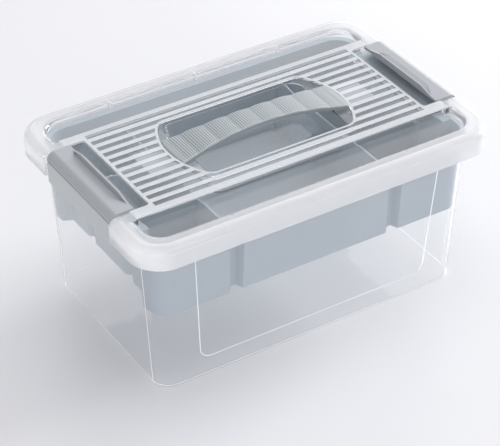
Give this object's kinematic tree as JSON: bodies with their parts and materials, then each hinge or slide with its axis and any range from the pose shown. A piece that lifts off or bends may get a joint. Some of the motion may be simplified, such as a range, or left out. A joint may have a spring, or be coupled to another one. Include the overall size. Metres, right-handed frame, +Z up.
{
  "type": "lidded carry box with insert tray",
  "caption": "Clear rectangular storage box with a lift-off ribbed lid, arched carry handle, two end clip latches and a hanging compartment tray.",
  "frame": {"origin": "under the middle of the box, on the surface that it stands on", "axes": "+X along the length towards the right-hand latch, +Y to the back, +Z up"},
  "size_m": [0.301, 0.199, 0.1512],
  "materials": {
    "clear_body": "clear polished plastic",
    "frosted_lid": "clear plastic with a milky border and frosted stripes",
    "tray_grey": "satin blue-grey plastic",
    "handle_core": "satin grey plastic",
    "handle_sleeve": "fine-ribbed soft grey plastic",
    "latch_grey": "satin silver-grey plastic",
    "latch_plate": "satin silver-grey plastic",
    "hinge_pin": "grey plastic"
  },
  "bodies": {
    "base": {"base_box": "clear_body"},
    "lid": {"lid": "frosted_lid", "handle_bridge": "handle_core", "handle_grip": "handle_sleeve"},
    "tray": {"tray": "tray_grey"},
    "latch_right": {"latch_right": "latch_grey", "latch_cover_right": "latch_plate", "latch_pins_right": "hinge_pin"},
    "latch_left": {"latch_left": "latch_grey", "latch_cover_left": "latch_plate", "latch_pins_left": "hinge_pin"}
  },
  "joints": [
    {"name": "lid_lift", "type": "slide", "parent": "base", "child": "lid", "axis": [0, 0, 1], "range_m": [0, 0.019]},
    {"name": "tray_lift", "type": "slide", "parent": "base", "child": "tray", "axis": [0, 0, 1], "range_m": [0, 0.0172]},
    {"name": "latch_right_hinge", "type": "hinge", "parent": "base", "child": "latch_right", "pos_m": [0.14377, 0, 0.122], "axis": [0, 1, 0], "range_deg": [0, 120]},
    {"name": "latch_left_hinge", "type": "hinge", "parent": "base", "child": "latch_left", "pos_m": [-0.14377, 0, 0.122], "axis": [0, -1, 0], "range_deg": [0, 120]}
  ],
  "couplings": [
    {"joint": "tray_lift", "follows": "lid_lift", "ratio": 0.9},
    {"joint": "latch_right_hinge", "follows": "lid_lift", "rad_per_m": 110},
    {"joint": "latch_left_hinge", "follows": "lid_lift", "rad_per_m": 110}
  ]
}
